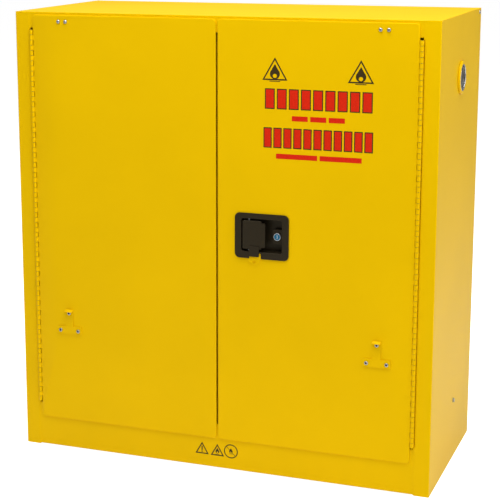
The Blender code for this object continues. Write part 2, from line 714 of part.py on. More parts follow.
def right_door_fittings(parent, pan):
    for word, x, z in (
        ("top", CAM_X + ROD_OFFSET, OPENING_TOP - PAN_CLEARANCE),
        ("bottom", CAM_X - ROD_OFFSET, OPENING_BOTTOM + PAN_CLEARANCE),
    ):
        combine(pan, rod_slot(x, z))
        level = z - 0.110 if word == "top" else z + 0.110
        low = (x - 0.0115, ROD_LAYER[0] - 0.0022, level - 0.008)
        high = (x + 0.0115, PAN_BACK - SHEET - GAP, level + 0.008)
        guide = solid(f"rod_guide_{word}", box(low, high), parent, ZINC)
        half = ROD_WIDTH / 2 + 0.0006
        low = (x - half, ROD_LAYER[0] - 0.0005, level - 0.02)
        combine(guide, box(low, (x + half, ROD_LAYER[1] + 0.0005, level + 0.02)))
    edge = PAN_EDGE - GAP
    outline = [(edge, 0.030 - 0.012), (edge, 0.008), (-0.0030, 0.008)]
    bottom = OPENING_BOTTOM + PAN_CLEARANCE
    top = OPENING_TOP - PAN_CLEARANCE
    folded("centre_strip", outline, 2, bottom, top, parent, YELLOW, offset=1, radius=0.0015)


def build():
    root = pivot("cabinet_root", (0, 0, 0))
    root.location = (0, ROOT_Y, 0)
    doors = {
        "left": pivot("left_door_axis", (-HINGE_X, HINGE_Y, 0), root),
        "right": pivot("right_door_axis", (HINGE_X, HINGE_Y, 0), root),
    }
    casing(root)
    frame_members(root)
    lining(root)
    shelving(root)
    vents(root)
    side_screws(root)
    door("left", -1, doors["left"])
    skin, pan = door("right", 1, doors["right"])
    hinges(root, doors)
    handle(doors["right"], skin)
    right_door_fittings(doors["right"], pan)
    paddle(pivot("paddle_axis", (PIVOT_X, PIVOT_Y, CAM_Z), doors["right"]))
    lock(pivot("lock_axis", (LOCK_X, 0, LOCK_Z), doors["right"]))
    cam(pivot("cam_axis", (CAM_X, 0, CAM_Z), doors["right"]))
    slides = [pivot(f"{word}_slide", (CAM_X, 0, CAM_Z), doors["right"]) for word in ("top_rod", "bottom_rod", "bolt")]
    rods(slides[0], slides[1])
    centre_bolt(slides[2])
    bpy.context.view_layer.update()


build()
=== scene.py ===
"""A flammable liquids cabinet: sheet-metal casing, two hinged doors, vents and a paddle latch."""

import json
import math
from contextlib import contextmanager

import bmesh
import bpy
from bpy.props import FloatProperty, FloatVectorProperty, IntProperty, PointerProperty
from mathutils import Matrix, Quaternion, Vector

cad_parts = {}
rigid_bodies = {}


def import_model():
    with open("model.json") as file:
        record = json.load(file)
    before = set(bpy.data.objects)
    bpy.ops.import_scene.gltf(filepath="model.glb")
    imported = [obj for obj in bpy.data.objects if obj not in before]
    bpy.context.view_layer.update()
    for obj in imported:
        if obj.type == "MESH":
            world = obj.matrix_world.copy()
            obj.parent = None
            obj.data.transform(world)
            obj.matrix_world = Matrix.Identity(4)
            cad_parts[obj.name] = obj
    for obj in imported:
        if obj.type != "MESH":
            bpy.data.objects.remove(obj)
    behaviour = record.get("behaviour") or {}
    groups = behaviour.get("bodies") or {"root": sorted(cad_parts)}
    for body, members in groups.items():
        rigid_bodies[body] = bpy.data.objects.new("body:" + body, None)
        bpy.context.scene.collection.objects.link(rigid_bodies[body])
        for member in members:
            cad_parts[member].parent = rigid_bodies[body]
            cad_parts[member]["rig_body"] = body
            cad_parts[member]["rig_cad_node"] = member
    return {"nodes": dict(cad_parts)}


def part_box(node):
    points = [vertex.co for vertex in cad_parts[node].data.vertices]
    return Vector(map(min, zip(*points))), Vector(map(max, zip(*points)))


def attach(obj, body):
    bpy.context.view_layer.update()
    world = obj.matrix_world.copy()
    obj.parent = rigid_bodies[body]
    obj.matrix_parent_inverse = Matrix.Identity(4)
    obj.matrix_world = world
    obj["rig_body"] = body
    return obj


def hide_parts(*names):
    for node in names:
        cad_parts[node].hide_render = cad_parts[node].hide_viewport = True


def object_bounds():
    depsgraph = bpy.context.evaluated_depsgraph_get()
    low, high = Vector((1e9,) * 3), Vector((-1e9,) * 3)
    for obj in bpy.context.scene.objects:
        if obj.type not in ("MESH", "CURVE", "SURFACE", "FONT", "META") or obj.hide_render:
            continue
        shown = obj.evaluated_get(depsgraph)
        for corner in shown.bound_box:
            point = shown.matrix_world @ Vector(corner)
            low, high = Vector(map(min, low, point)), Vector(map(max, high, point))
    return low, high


bl_info = {
    "name": "Safety Cabinet",
    "version": (1, 0, 0),
    "blender": (4, 5, 0),
    "location": "View3D > Sidebar > Safety Cabinet",
    "description": "Builds the looks of a flammable liquids cabinet around its packed frame",
    "category": "Add Mesh",
}

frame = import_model()
START_LOW, START_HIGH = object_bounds()

X, Y, Z = 0, 1, 2
SIDES = (("left", -1), ("right", 1))
NEAR = 0.0001  # within this a point lies on a plane
PAST = 0.01  # how far a cutter runs past what it cuts


def centre_of(node):
    low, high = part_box(node)
    return (low + high) / 2


DOOR_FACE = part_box("door_right_skin")[0].y
STILE_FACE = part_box("side_right")[0].y
SIDE_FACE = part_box("side_right")[1].x
DOOR_TRIM = {"left": 0.0012, "right": 0.0005}  # what the doors give up beside the hinges
VENTS = {word: centre_of(f"vent_{word}") for word, side in SIDES}
HINGES = {word: centre_of(f"hinge_pin_{word}") for word, side in SIDES}
VENT_BORE = 0.0324
SCREEN_RADIUS = 0.0300
HOOK_SHEET = 0.0020
PLATE_LOW, PLATE_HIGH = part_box("handle_housing")
POCKET_LEFT, POCKET_RIGHT, POCKET_BOTTOM, POCKET_TOP = 0.0630, 0.1645, 0.5610, 0.6415
PADDLE_LEFT, PADDLE_RIGHT, PADDLE_BOTTOM, PADDLE_TOP = 0.0667, 0.1230, 0.5675, 0.6365
PIN_LOW, PIN_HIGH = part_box("paddle_pin")
PIN_BORE = 0.0023
PIVOT = (0.0805, (PIN_LOW.y + PIN_HIGH.y) / 2, 0.5995)
STUD_X = 0.100
NOTCH_LEFT, NOTCH_RIGHT, NOTCH_TOP = 0.0830, 0.1127, 0.5583
LUG_LEFT, LUG_RIGHT, LUG_BOTTOM = 0.0833, 0.1081, 0.5495
TAB_HOLE_Z, TAB_HOLE_RADIUS, TAB_RADIUS = 0.5362, 0.0038, 0.0165
LOCK = centre_of("lock_cylinder")
LOCK_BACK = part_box("lock_cylinder")[1].y


class CabinetColours(bpy.types.PropertyGroup):
    """Paints and prints of the cabinet."""

    paint: FloatVectorProperty(
        name="Cabinet paint",
        description="Powder coat on the casing and the doors",
        subtype="COLOR",
        size=3,
        min=0,
        max=1,
        default=(0.79, 0.485, 0.0),
    )
    handle: FloatVectorProperty(
        name="Handle paint",
        description="Powder coat on the latch plate and the paddle",
        subtype="COLOR",
        size=3,
        min=0,
        max=1,
        default=(0.014, 0.010, 0.0045),
    )
    sign: FloatVectorProperty(
        name="Sign blocks",
        description="Printed blocks on the right door",
        subtype="COLOR",
        size=3,
        min=0,
        max=1,
        default=(0.66, 0.016, 0.0),
    )
    outline: FloatVectorProperty(
        name="Sign outlines",
        description="Dark print round the blocks and of the pictograms",
        subtype="COLOR",
        size=3,
        min=0,
        max=1,
        default=(0.045, 0.028, 0.006),
    )
    lock: FloatVectorProperty(
        name="Lock face",
        description="Lacquered face of the key cylinder",
        subtype="COLOR",
        size=3,
        min=0,
        max=1,
        default=(0.0, 0.115, 0.21),
    )
    zinc: FloatVectorProperty(
        name="Zinc coating",
        description="Galvanised sheet of the linings, sump and shelf",
        subtype="COLOR",
        size=3,
        min=0,
        max=1,
        default=(0.60, 0.61, 0.62),
    )


class CabinetSizes(bpy.types.PropertyGroup):
    """Sizes of the cabinet's small parts."""

    knuckle: FloatProperty(
        name="Knuckle length",
        description="Length of one rolled knuckle of the door hinges",
        unit="LENGTH",
        default=0.0127,
    )
    knuckle_radius: FloatProperty(
        name="Knuckle radius",
        description="Outer radius of the rolled knuckles",
        unit="LENGTH",
        default=0.0045,
    )
    mesh_pitch: FloatProperty(
        name="Screen pitch",
        description="Spacing of the wires in a vent screen",
        unit="LENGTH",
        default=0.0021,
    )
    wire: FloatProperty(
        name="Screen wire",
        description="Thickness of a vent screen's wire",
        unit="LENGTH",
        default=0.0007,
    )
    sign_blocks: IntProperty(
        name="Sign blocks", description="Printed blocks in the sign's upper row", default=9
    )
    print_depth: FloatProperty(
        name="Print thickness",
        description="How far a print stands out of the paint",
        unit="LENGTH",
        default=0.0001,
    )


class StageSettings(bpy.types.PropertyGroup):
    """Light and camera around the cabinet."""

    place: FloatVectorProperty(
        name="Camera",
        description="Where the camera stands",
        subtype="TRANSLATION",
        size=3,
        default=(1.175, -3.3904, 1.350),
    )
    lens: FloatProperty(
        name="Focal length", description="Focal length of the camera", unit="CAMERA", default=103.33
    )
    top_light: FloatProperty(
        name="Top light", description="Power of the softbox overhead", unit="POWER", default=118
    )
    front_light: FloatProperty(
        name="Front light", description="Power of the softbox in front", unit="POWER", default=29
    )
    fill_light: FloatProperty(
        name="Fill light",
        description="Power of the softbox on the front left",
        unit="POWER",
        default=8,
    )
    side_light: FloatProperty(
        name="Side light", description="Power of the softbox on the right", unit="POWER", default=52
    )
    back_light: FloatProperty(
        name="Back light",
        description="Power of the softbox behind the left side",
        unit="POWER",
        default=60,
    )
    surround: FloatProperty(
        name="Surround", description="Strength of the white surround", default=0.17
    )
    floor_glow: FloatProperty(
        name="Floor glow", description="Light that the floor gives off by itself", default=0.85
    )


# Shaping


def deselect():
    if bpy.context.object and bpy.context.object.mode != "OBJECT":
        bpy.ops.object.mode_set(mode="OBJECT")
    bpy.ops.object.select_all(action="DESELECT")


def activate(obj):
    deselect()
    obj.select_set(True)
    bpy.context.view_layer.objects.active = obj


def settled(name):
    obj = bpy.context.object
    obj.name = name
    obj.data.name = name
    bpy.ops.object.transform_apply(location=True, rotation=True, scale=True)
    return obj


def block(name, low, high):
    deselect()
    centre = [(a + b) / 2 for a, b in zip(low, high)]
    bpy.ops.mesh.primitive_cube_add(size=1, location=centre)
    bpy.context.object.scale = [b - a for a, b in zip(low, high)]
    return settled(name)


def panel(name, centre, size, turn=(0, 0, 0)):
    """A single face, laid flat and then turned."""
    deselect()
    bpy.ops.mesh.primitive_plane_add(size=1, location=centre, rotation=turn)
    bpy.context.object.scale = (*size, 1)
    return settled(name)


def rod(name, centre, radius, low, high, axis, sides=48):
    """A cylinder along one axis, between two planes."""
    deselect()
    place = list(centre)
    place[axis] = (low + high) / 2
    turn = ((0, math.pi / 2, 0), (math.pi / 2, 0, 0), (0, 0, 0))[axis]
    bpy.ops.mesh.primitive_cylinder_add(
        vertices=sides, radius=radius, depth=high - low, location=place, rotation=turn
    )
    return settled(name)


@contextmanager
def editing(obj, mode="FACE"):
    activate(obj)
    bpy.ops.object.mode_set(mode="EDIT")
    bpy.ops.mesh.select_mode(type=mode)
    bpy.ops.mesh.select_all(action="DESELECT")
    yield bmesh.from_edit_mesh(obj.data)
    bpy.ops.object.mode_set(mode="OBJECT")


def pick_faces(obj, shape, test):
    """Selects the faces that a test on centre and normal accepts."""
    for face in shape.faces:
        face.select_set(bool(test(face.calc_center_median(), face.normal)))
    bmesh.update_edit_mesh(obj.data)


def pick_edges(obj, shape, test):
    """Selects the edges that a test on middle and direction accepts."""
    for edge in shape.edges:
        ends = [vert.co for vert in edge.verts]
        edge.select_set(bool(test((ends[0] + ends[1]) / 2, (ends[1] - ends[0]).normalized())))
    bmesh.update_edit_mesh(obj.data)


def round_edges(obj, test, width, segments=4):
    with editing(obj, "EDGE") as shape:
        pick_edges(obj, shape, test)
        bpy.ops.mesh.bevel(offset=width, segments=segments, profile=0.5, affect="EDGES")
    return obj


def round_along(obj, axis, width, segments=4):
    """Rounds every edge that runs along an axis."""
    return round_edges(obj, lambda middle, way: abs(way[axis]) > 0.999, width, segments)


def modify(obj, kind, **settings):
    activate(obj)
    modifier = obj.modifiers.new("step", kind)
    for key, value in settings.items():
        setattr(modifier, key, value)
    bpy.ops.object.modifier_apply(modifier=modifier.name)
    return obj


def combine(obj, tool, operation):
    modify(obj, "BOOLEAN", operation=operation, solver="EXACT", object=tool)
    bpy.data.objects.remove(tool)
    return obj


def add(obj, tool):
    return combine(obj, tool, "UNION")


def cut(obj, tool):
    return combine(obj, tool, "DIFFERENCE")


def face_out():
    """Turns every face of the mesh in edit mode outwards."""
    bpy.ops.mesh.select_all(action="SELECT")
    bpy.ops.mesh.normals_make_consistent(inside=False)


def soften(obj, width, segments=2, angle=40):
    return modify(
        obj,
        "BEVEL",
        width=width,
        segments=segments,
        limit_method="ANGLE",
        angle_limit=math.radians(angle),
        harden_normals=False,
    )


def join(obj, *others):
    deselect()
    for other in others:
        other.select_set(True)
    obj.select_set(True)
    bpy.context.view_layer.objects.active = obj
    bpy.ops.object.join()
    return obj


def finish(obj, body, material, nodes=(), angle=35):
    """Smooths a piece, paints it and hangs it on its body in place of CAD nodes."""
    activate(obj)
    bpy.ops.object.shade_smooth_by_angle(angle=math.radians(angle))
    modify(obj, "WEIGHTED_NORMAL", keep_sharp=True, weight=50)
    obj.data.materials.clear()
    obj.data.materials.append(material)
    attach(obj, body)
    if nodes:
        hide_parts(*nodes)
    return obj


def refined(node, material, width):
    """A CAD node's sheet with its seams merged and its cut edges softened."""
    source = frame["nodes"][node]
    activate(source)
    bpy.ops.object.duplicate()
    obj = bpy.context.object
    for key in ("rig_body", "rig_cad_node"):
        del obj[key]
    obj.parent = None
    obj.name = node + "_sheet"
    with editing(obj):
        bpy.ops.mesh.select_all(action="SELECT")
        bpy.ops.mesh.remove_doubles(threshold=0.00002)
        bpy.ops.mesh.dissolve_limited(angle_limit=math.radians(1))
    soften(obj, width)
    return finish(obj, source["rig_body"], material, [node], angle=30)


# Materials


class Wire:
    """A socket in a material: sums on it add Math nodes."""

    def __init__(self, coat, socket):
        self.coat, self.socket = coat, socket

    def sum(self, operation, first, second):
        return self.coat.node("ShaderNodeMath", {"operation": operation}, {0: first, 1: second})

    def __add__(self, other):
        return self.sum("ADD", self, other)

    def __radd__(self, other):
        return self.sum("ADD", other, self)

    def __mul__(self, other):
        return self.sum("MULTIPLY", self, other)

    def __rmul__(self, other):
        return self.sum("MULTIPLY", other, self)


class Coat:
    """A Principled material that is wired up in Python."""

    def __init__(self, name, colour, roughness, metallic=0.0, gleam=0.5):
        self.material = bpy.data.materials.new(name)
        self.material.use_nodes = True
        self.tree = self.material.node_tree
        self.shader = self.tree.nodes["Principled BSDF"]
        self.shader.inputs["Base Color"].default_value = (*colour, 1)
        self.shader.inputs["Roughness"].default_value = roughness
        self.shader.inputs["Metallic"].default_value = metallic
        self.shader.inputs["Specular IOR Level"].default_value = gleam

    def node(self, kind, settings=None, sockets=None, output=0):
        made = self.tree.nodes.new(kind)
        for key, value in (settings or {}).items():
            setattr(made, key, value)
        for key, value in (sockets or {}).items():
            if isinstance(value, Wire):
                self.tree.links.new(value.socket, made.inputs[key])
            else:
                made.inputs[key].default_value = value
        return Wire(self, made.outputs[output])

    def place(self):
        return self.node("ShaderNodeTexCoord", output="Object")

    def noise(self, scale, detail, stretch=None):
        place = self.place()
        if stretch:
            place = self.node("ShaderNodeMapping", sockets={"Vector": place, "Scale": stretch})
        return self.node(
            "ShaderNodeTexNoise", sockets={"Vector": place, "Scale": scale, "Detail": detail}
        )

    def ramp(self, value, low, high, start=0.0, end=1.0):
        """A value taken from one range to another, clamped."""
        return self.node(
            "ShaderNodeMapRange", sockets={0: value, 1: low, 2: high, 3: start, 4: end}
        )

    def between(self, factor, first, second):
        """A colour mixed from two colours."""
        first = first if isinstance(first, Wire) else (*first, 1)
        second = second if isinstance(second, Wire) else (*second, 1)
        return self.node(
            "ShaderNodeMix", {"data_type": "RGBA"}, {0: factor, 6: first, 7: second}, output=2
        )

    def bump(self, height, strength, distance):
        return self.node(
            "ShaderNodeBump", sockets={"Height": height, "Strength": strength, "Distance": distance}
        )

    def into(self, **sockets):
        for key, wire in sockets.items():
            self.tree.links.new(wire.socket, self.shader.inputs[key.replace("_", " ")])
        return self.material


def shade(colour, factor):
    return tuple(min(1.0, part * factor) for part in colour)


def powder_coat(name, colour, roughness=0.42, peel=0.12, gleam=0.3, tint=(1, 1, 1)):
    """Satin powder paint: a faint drift of tone, orange peel and a grain in its gloss."""
    coat = Coat(name, colour, roughness, gleam=gleam)
    coat.shader.inputs["Specular Tint"].default_value = (*tint, 1)
    drift = coat.ramp(coat.noise(4.0, 2), 0.3, 0.7)
    peel_height = coat.noise(420, 2) + 0.35 * coat.noise(1500, 1)
    colour_wire = coat.between(drift, shade(colour, 0.975), shade(colour, 1.02))
    gloss = coat.ramp(coat.noise(900, 2), 0.3, 0.7, roughness - 0.04, roughness + 0.05)
    return coat.into(
        Base_Color=colour_wire, Roughness=gloss, Normal=coat.bump(peel_height, peel, 0.00012)
    )


def galvanised(name, colour):
    """Zinc-coated sheet with its crystal spangle."""
    coat = Coat(name, colour, 0.38, 0.9)
    cells = coat.node(
        "ShaderNodeTexVoronoi",
        {"feature": "F1"},
        {"Vector": coat.place(), "Scale": 110.0, "Randomness": 1.0},
        output="Color",
    )
    spangle = coat.node("ShaderNodeSeparateColor", sockets={"Color": cells})
    grain = coat.noise(700, 3)
    tone = 0.7 * spangle + 0.3 * grain
    colour_wire = coat.between(tone, shade(colour, 0.82), shade(colour, 1.12))
    return coat.into(
        Base_Color=colour_wire,
        Roughness=coat.ramp(tone, 0, 1, 0.30, 0.48),
        Normal=coat.bump(grain, 0.08, 0.0001),
    )


def plated(name, colour=(0.72, 0.72, 0.73), roughness=0.22):
    """Bright plating with fine handling marks."""
    coat = Coat(name, colour, roughness, 1.0)
    marks = coat.noise(1800, 4, stretch=(1, 1, 0.15))
    smears = coat.noise(160, 3)
    colour_wire = coat.between(coat.ramp(smears, 0.35, 0.7), colour, shade(colour, 0.84))
    gloss = coat.ramp(marks, 0.3, 0.7, roughness - 0.06, roughness + 0.12)
    return coat.into(
        Base_Color=colour_wire, Roughness=gloss, Normal=coat.bump(marks, 0.06, 0.00005)
    )


def turned_face(name, centre):
    """Steel faced on a lathe: fine rings round the key slot."""
    coat = Coat(name, (0.60, 0.64, 0.68), 0.28, 1.0)
    place = coat.node(
        "ShaderNodeMapping",
        sockets={"Vector": coat.place(), "Location": (-centre.x, 0, -centre.z), "Scale": (1, 0, 1)},
    )
    reach = coat.node("ShaderNodeVectorMath", {"operation": "LENGTH"}, {0: place}, output="Value")
    rings = coat.node("ShaderNodeMath", {"operation": "SINE"}, {0: reach * 14000.0})
    grain = coat.noise(1500, 2)
    gloss = coat.ramp(rings + grain, -1, 2, 0.22, 0.36)
    return coat.into(
        Base_Color=coat.between(grain, (0.54, 0.58, 0.62), (0.68, 0.71, 0.74)),
        Roughness=gloss,
        Normal=coat.bump(rings, 0.05, 0.00003),
    )


def ink(name, colour):
    """Screen-printed ink: the mesh of the screen and slightly uneven cover."""
    coat = Coat(name, colour, 0.5, gleam=0.15)
    weave = coat.node(
        "ShaderNodeTexChecker", sockets={"Vector": coat.place(), "Scale": 2400.0}, output="Fac"
    )
    cover = coat.ramp(coat.noise(260, 3), 0.3, 0.75)
    return coat.into(
        Base_Color=coat.between(cover, shade(colour, 0.9), shade(colour, 1.06)),
        Roughness=coat.ramp(coat.noise(600, 2), 0.3, 0.7, 0.44, 0.58),
        Normal=coat.bump(weave, 0.03, 0.00003),
    )


FINISHES = {}


class CABINET_OT_finishes(bpy.types.Operator):
    """Mix the paints, platings and inks and put them on the CAD nodes"""

    bl_idname = "cabinet.finishes"
    bl_label = "Finishes"

    def execute(self, context):
        colours = context.scene.cabinet_colours
        FINISHES.update(
            paint=powder_coat("Yellow powder coat", colours.paint, tint=(1.0, 0.7, 0.05)),
            handle=powder_coat(
                "Black powder coat", colours.handle, 0.38, 0.30, 0.3, (1.0, 0.85, 0.6)
            ),
            zinc=galvanised("Galvanised sheet", colours.zinc),
            steel=plated("Bright plated steel"),
            # Steel wire, its near-black tone partly painted shade: it darkens the vent screens and
            # the hinge gaps
            wire=plated("Steel wire darkened with painted shade", (0.16, 0.155, 0.14), 0.35),
            bolt=plated("Zinc-plated fixings", (0.45, 0.46, 0.48), 0.26),
            lock=turned_face("Turned lock ring", LOCK),
            lock_face=powder_coat("Blue lock face", colours.lock, 0.25, 0.05, 0.4),
            # near-black painted shade for hollows: the rivet stems and the key slot
            hole=powder_coat("Painted shade in hollows", (0.01, 0.009, 0.008), 0.7, 0.05),
            sign=ink("Red screen print", colours.sign),
            outline=ink("Dark screen print", colours.outline),
        )
        zinc = ("liner", "sump", "shelf", "rod_", "latch_cam", "centre_bolt")
        steel = (
            "hinge_pin",
            "hook_rivet",
            "door_bolt",
            "ground",
            "rear_screw",
            "vent_screen",
            "paddle_pin",
            "lock_",
        )
        for name, node in frame["nodes"].items():
            kind = "handle" if name in ("paddle", "handle_housing") else "paint"
            kind = "zinc" if name.startswith(zinc) else "steel" if name.startswith(steel) else kind
            node.data.materials.clear()
            node.data.materials.append(FINISHES[kind])
        return {"FINISHED"}


class CABINET_OT_casing(bpy.types.Operator):
    """Shape the outer sheets of the casing and the door skins and pans"""

    bl_idname = "cabinet.casing"
    bl_label = "Casing and doors"

    def execute(self, context):
        casing = (
            "side_left", "side_right", "top_panel", "header", "sill", "back_panel", "base_panel"
        )
        for node in (*casing, "door_left_pan", "door_right_pan", "centre_strip"):
            refined(node, FINISHES["paint"], 0.0003)
        for word, side in SIDES:
            skin = refined(f"door_{word}_skin", FINISHES["paint"], 0.0003)
            low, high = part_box(f"door_{word}_skin")
            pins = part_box(f"hinge_pin_{word}")
            edge = high.x if side > 0 else low.x
            ends = sorted((edge - side * DOOR_TRIM[word], edge + side * PAST))
            cut(
                skin,
                block(
                    "trim", (ends[0], low.y - PAST, pins[0].z), (ends[1], high.y + PAST, pins[1].z)
                ),
            )
        for node in (
            "liner_left",
            "liner_right",
            "liner_back",
            "liner_top",
            "sump",
            "shelf",
            "shelf_rail_left",
            "shelf_rail_right",
        ):
            refined(node, FINISHES["zinc"], 0.0002)
        return {"FINISHED"}


class CABINET_OT_welds(bpy.types.Operator):
    """Lay the dressed welds that join the header, sill and top to the stiles"""

    bl_idname = "cabinet.welds"
    bl_label = "Dressed welds"

    def bar(self, name, low, high, rim=0.0012):
        weld = block(name, low, high)
        soften(weld, rim, 4)
        return finish(weld, "case", FINISHES["paint"])

    def execute(self, context):
        low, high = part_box("header")
        top = START_HIGH.z
        self.bar(
            "weld_top",
            (low.x, low.y - 0.0002, top - 0.0040),
            (high.x, low.y + 0.0060, top + 0.00008),
            0.0018,
        )
        seam_low, seam_high = (HINGES["right"].z + way * 0.4784 for way in (-1, 1))
        for word, side in SIDES:
            seam = sorted((side * (high.x - 0.0020), side * (high.x + 0.0035)))
            fold = sorted((side * (high.x + 0.0015), side * (SIDE_FACE - 0.0012)))
            front, back = STILE_FACE + 0.0003, STILE_FACE + 0.0040
            self.bar(
                f"weld_{word}_top",
                (seam[0], front, seam_high),
                (seam[1], back, top - 0.0005),
                0.0005,
            )
            self.bar(
                f"fold_{word}_top",
                (fold[0], STILE_FACE - 0.0001, top - 0.0045),
                (fold[1], STILE_FACE + 0.0060, top + 0.00008),
                0.0020,
            )
            self.bar(
                f"weld_{word}_bottom",
                (seam[0], front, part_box("sill")[0].z),
                (seam[1], back, seam_low),
                0.0005,
            )
        return {"FINISHED"}


class CABINET_OT_hinges(bpy.types.Operator):
    """Roll the knuckles of both continuous hinges and join them to their leaves"""

    bl_idname = "cabinet.hinges"
    bl_label = "Continuous hinges"

    def leaf(self, context, word, owner, side, turn):
        sizes = context.scene.cabinet_sizes
        pin = HINGES[word]
        low, high = (corner.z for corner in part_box(f"hinge_pin_{word}"))
        count = round((high - low) / sizes.knuckle)
        pitch = (high - low) / count
        gap = 0.00055
        sheet = 0.0011
        across = pin.x + side * (sizes.knuckle_radius - sheet / 2)
        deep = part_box(f"hinge_{word}_{owner}_leaf")[1].y
        middle = low + (turn + 0.5) * pitch
        curl = panel(
            f"hinge_{word}_{owner}",
            (across, pin.y + 0.003, middle),
            (pitch - 2 * gap, 0.006),
            (0, math.pi / 2, 0),
        )
        with editing(curl, "EDGE") as shape:
            pick_edges(curl, shape, lambda mid, way: abs(mid.y - pin.y) < NEAR)
            bpy.ops.mesh.spin(
                steps=14,
                angle=math.radians(-300) * side,
                center=(pin.x, pin.y, middle),
                axis=(0, 0, -1),
            )
        with editing(curl):
            face_out()
        modify(curl, "SOLIDIFY", thickness=sheet, offset=0)
        if owner == "door":
            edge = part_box(f"door_{word}_skin")[0 if side > 0 else 1].x + side * DOOR_TRIM[word]
            ends = sorted((edge, across))
            half = pitch / 2 - gap
            tongue = block(
                "tongue",
                (ends[0], pin.y - 0.0006, middle - half),
                (ends[1], pin.y + 0.0040, middle + half),
            )
            join(curl, tongue)
        modify(
            curl,
            "ARRAY",
            count=len(range(turn, count, 2)),
            use_relative_offset=False,
            use_constant_offset=True,
            constant_offset_displace=(0, 0, 2 * pitch),
        )
        inner = sheet / 2 - 0.00002
        plate = block("plate", (across - inner, pin.y + 0.0056, low), (across + inner, deep, high))
        join(curl, plate)
        body = f"{word}_door" if owner == "door" else "case"
        return finish(curl, body, FINISHES["paint"], [f"hinge_{word}_{owner}_leaf"])

    def execute(self, context):
        for word, side in SIDES:
            self.leaf(context, word, "frame", side, 0)
            self.leaf(context, word, "door", -side, 1)
            # dark pins: painted shade in the gaps between the knuckles
            frame["nodes"][f"hinge_pin_{word}"].data.materials[0] = FINISHES["wire"]
        return {"FINISHED"}


class CABINET_OT_vents(bpy.types.Operator):
    """Turn the flanged vent sleeves and weave the flame screens inside them"""

    bl_idname = "cabinet.vents"
    bl_label = "Vents"

    def ring(self, word, side, centre):
        low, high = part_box(f"vent_{word}")
        flange = (high.z - low.z) / 2
        ends = sorted((side * SIDE_FACE + side * 0.0003, side * high.x if side > 0 else low.x))
        ring = rod(f"vent_ring_{word}", centre, flange, *ends, X, 96)
        outer = max(ends, key=abs)
        round_edges(
            ring, lambda mid, way: abs(mid.x - outer) < NEAR and abs(way.x) < 0.5, 0.0030, 6
        )
        inner = min((low.x, high.x), key=abs)
        sleeve = rod("sleeve", centre, 0.0340, *sorted((inner, side * (SIDE_FACE + 0.002))), X, 96)
        add(ring, sleeve)
        cut(
            ring,
            rod(
                "bore",
                centre,
                VENT_BORE,
                *sorted((inner - side * PAST, outer + side * PAST)),
                X,
                96,
            ),
        )
        soften(ring, 0.0006, 3, 50)
        return finish(ring, "case", FINISHES["paint"], [f"vent_{word}"])

    def screen(self, context, word, side, centre):
        sizes = context.scene.cabinet_sizes
        radius = SCREEN_RADIUS
        middle = sum(corner.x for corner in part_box(f"vent_screen_{word}")) / 2
        count = round(2 * radius / sizes.mesh_pitch)
        deselect()
        bpy.ops.mesh.primitive_grid_add(
            x_subdivisions=count,
            y_subdivisions=count,
            size=2 * radius,
            location=(middle, centre.y, centre.z),
            rotation=(0, math.pi / 2, 0),
        )
        mesh = settled(f"vent_screen_{word}_wires")
        with editing(mesh, "VERT") as shape:
            for vert in shape.verts:
                vert.select_set(math.hypot(vert.co.y - centre.y, vert.co.z - centre.z) > radius)
            bmesh.update_edit_mesh(mesh.data)
            bpy.ops.mesh.delete(type="VERT")
        with editing(mesh, "VERT") as shape:
            step = 2 * radius / count
            for vert in shape.verts:
                column = round((vert.co.y - centre.y) / step + count) + round(
                    (vert.co.z - centre.z) / step + count
                )
                vert.select_set(column % 2 == 0)
            bmesh.update_edit_mesh(mesh.data)
            bpy.ops.transform.translate(value=(side * 0.0003, 0, 0))
        modify(mesh, "WIREFRAME", thickness=sizes.wire, use_replace=True, use_even_offset=False)
        deselect()
        bpy.ops.mesh.primitive_torus_add(
            location=(middle, centre.y, centre.z),
            rotation=(0, math.pi / 2, 0),
            major_radius=SCREEN_RADIUS - 0.0009,
            minor_radius=0.0014,
            major_segments=96,
            minor_segments=12,
        )
        rim = settled("rim")
        join(mesh, rim)
        # the dark wire finish paints the shade inside the vent onto the screen
        finish(mesh, "case", FINISHES["wire"], [f"vent_screen_{word}"], angle=40)
        mouth = max((corner.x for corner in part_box(f"vent_{word}")), key=abs)
        cup = rod(
            f"vent_screen_{word}_cup",
            centre,
            VENT_BORE - 0.0002,
            *sorted((middle, mouth + side * 0.0002)),
            X,
            96,
        )
        cut(
            cup,
            rod(
                "inside",
                centre,
                SCREEN_RADIUS - 0.0004,
                *sorted((middle - side * PAST, mouth + side * PAST)),
                X,
                96,
            ),
        )
        soften(cup, 0.0009, 4, 50)
        return finish(cup, "case", FINISHES["steel"])

    def execute(self, context):
        for word, side in SIDES:
            self.ring(word, side, VENTS[word])
            self.screen(context, word, side, VENTS[word])
        return {"FINISHED"}


def head(name, centre, axis, outward, radius, rise, crown, shank, length, hollow=0.0):
    """A domed head on a shank, seated on a face; a blind rivet has a hollow with its stem."""
    top = centre[axis] + outward * rise
    seat = centre[axis]
    piece = rod(name, centre, radius, *sorted((seat, top)), axis, 40)

    def at_top(mid, way):
        return abs(mid[axis] - top) < NEAR / 5

    round_edges(piece, at_top, crown, 6)
    if hollow:
        with editing(piece) as shape:
            pick_faces(piece, shape, at_top)
            bpy.ops.mesh.inset(thickness=max(0.0001, radius - crown - hollow))
            inward = [0, 0, 0]
            inward[axis] = -outward * rise * 0.55
            bpy.ops.mesh.extrude_region_move(TRANSFORM_OT_translate={"value": inward})
            bpy.ops.mesh.inset(thickness=hollow * 0.35)
            stub = [0, 0, 0]
            stub[axis] = outward * rise * 0.3
            bpy.ops.mesh.extrude_region_move(TRANSFORM_OT_translate={"value": stub})
    pin = rod(
        "shank",
        centre,
        shank,
        *sorted((seat + outward * rise * 0.2, seat - outward * length)),
        axis,
        24,
    )
    return join(piece, pin)


